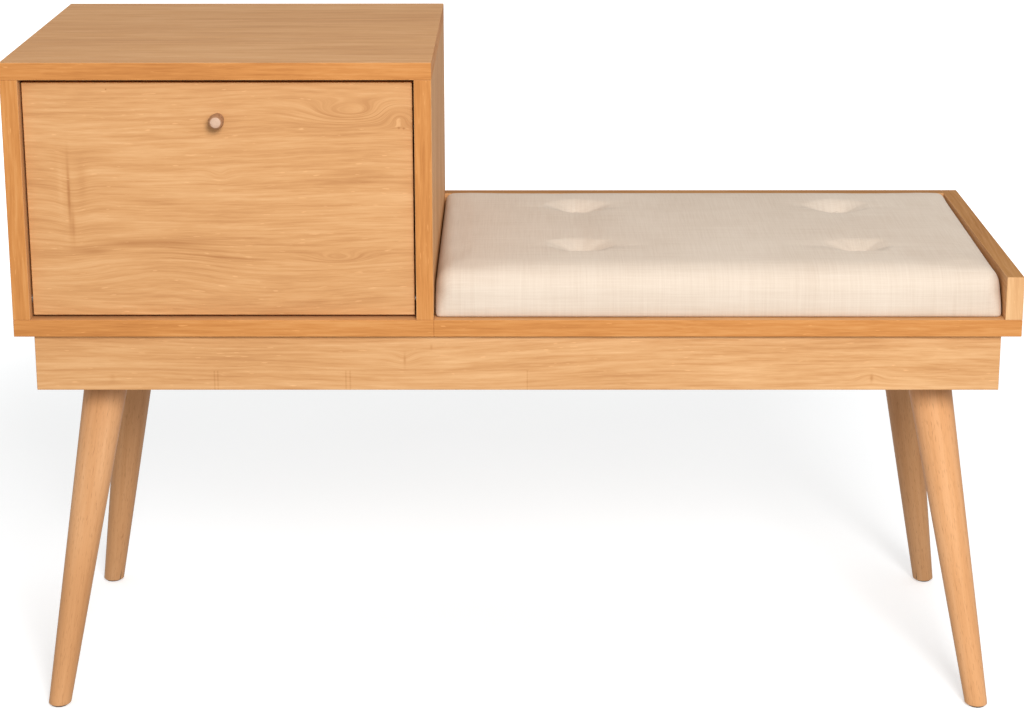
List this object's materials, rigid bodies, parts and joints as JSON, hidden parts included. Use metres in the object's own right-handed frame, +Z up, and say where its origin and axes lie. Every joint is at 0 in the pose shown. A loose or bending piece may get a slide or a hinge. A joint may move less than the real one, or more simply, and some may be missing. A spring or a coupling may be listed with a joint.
{
  "type": "entryway bench",
  "caption": "Long low bench with a raised cabinet box at its left end, a drop-down door with a small knob, low rims, a tufted seat cushion and splayed turned legs.",
  "frame": {"origin": "on the floor, under the middle of the whole bench, knob included", "axes": "+X to the right along the bench seen from its front, the front and the knob face -Y, +Z up"},
  "size_m": [1.05, 0.41, 0.716],
  "materials": {
    "oak_board": "satin",
    "hardboard": "matte",
    "plain_wood": "matte",
    "beech": "satin",
    "steel": "satin",
    "zinc": "matte",
    "dark_plastic": "matte",
    "white_plastic": "matte",
    "magnet": "matte",
    "linen": "matte",
    "bottom_cloth": "matte",
    "foam": "matte",
    "cord": "matte"
  },
  "bodies": {
    "carcass": {"cabinet_top": "oak_board", "cabinet_left_side": "oak_board", "cabinet_right_side": "oak_board", "cabinet_base": "oak_board", "cabinet_back": "hardboard", "seat_board": "oak_board", "back_rim": "oak_board", "end_rim": "oak_board", "front_apron": "oak_board", "back_apron": "oak_board", "left_apron": "oak_board", "right_apron": "oak_board", "cross_rail": "plain_wood", "corner_block_front_left": "plain_wood", "corner_block_front_right": "plain_wood", "corner_block_back_left": "plain_wood", "corner_block_back_right": "plain_wood", "leg_front_left": "beech", "leg_front_right": "beech", "leg_back_left": "beech", "leg_back_right": "beech", "leg_plate_front_left": "steel", "leg_plate_front_right": "steel", "leg_plate_back_left": "steel", "leg_plate_back_right": "steel", "leg_bolts": "steel", "floor_glides": "dark_plastic", "plate_screws": "steel", "block_screws": "steel", "rail_screws": "steel", "cabinet_dowels": "plain_wood", "apron_dowels": "plain_wood", "rim_dowels": "plain_wood", "cam_locks": "zinc", "cam_bolts": "steel", "pivot_bushes": "white_plastic", "stay_stud": "steel", "catch_body": "white_plastic", "catch_magnet": "magnet", "catch_screws": "steel"},
    "door": {"door_panel": "oak_board", "pivot_pins": "steel", "knob": "beech", "knob_screw": "steel", "stay_bracket": "steel", "bracket_screws": "steel", "stay_rivet": "steel", "strike_plate": "steel", "strike_screws": "steel"},
    "stay": {"stay_arm": "steel"},
    "cushion": {"cushion_cover": "linen", "cushion_bottom_cloth": "bottom_cloth", "cushion_foam": "foam", "cushion_buttons": "linen", "cushion_low_buttons": "bottom_cloth", "tuft_cords": "cord"}
  },
  "joints": [
    {"name": "door_hinge", "type": "hinge", "parent": "carcass", "child": "door", "pos_m": [-0.306, -0.176, 0.464], "axis": [1, 0, 0], "range_deg": [0, 90]},
    {"name": "stay_pivot", "type": "hinge", "parent": "door", "child": "stay", "pos_m": [-0.114, -0.157, 0.64903], "axis": [1, 0, 0], "range_deg": [-45, 0]},
    {"name": "cushion_lift", "type": "slide", "parent": "carcass", "child": "cushion", "axis": [0, 0, 1], "range_m": [0, 0.15]}
  ],
  "couplings": [
    {"joint": "stay_pivot", "follows": "door_hinge", "ratio": -0.5}
  ]
}
